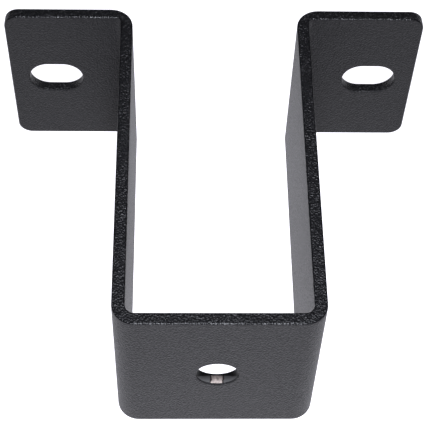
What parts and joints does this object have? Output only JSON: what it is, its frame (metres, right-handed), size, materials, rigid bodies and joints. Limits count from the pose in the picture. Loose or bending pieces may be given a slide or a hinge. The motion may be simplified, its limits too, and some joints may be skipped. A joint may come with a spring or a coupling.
{
  "type": "saddle bracket",
  "caption": "Hat-shaped saddle bracket folded from coated flat steel bar, with a bolt hole through the web and slotted flanges that hold a timber against a wall or post.",
  "frame": {"origin": "on the wall side of the flanges, midway between their two slots", "axes": "+X along the flanges, +Y into the wall, +Z along the width of the bar, which is up when the bracket stands on its edges"},
  "size_m": [0.1144, 0.098, 0.0502],
  "materials": {
    "powder_coat": "black powder coat with a fine sandy texture, low sheen",
    "bare_steel": "uncoated wall of the web's bolt hole, satin cut steel"
  },
  "bodies": {
    "root": {"strap": "powder_coat"}
  },
  "joints": []
}
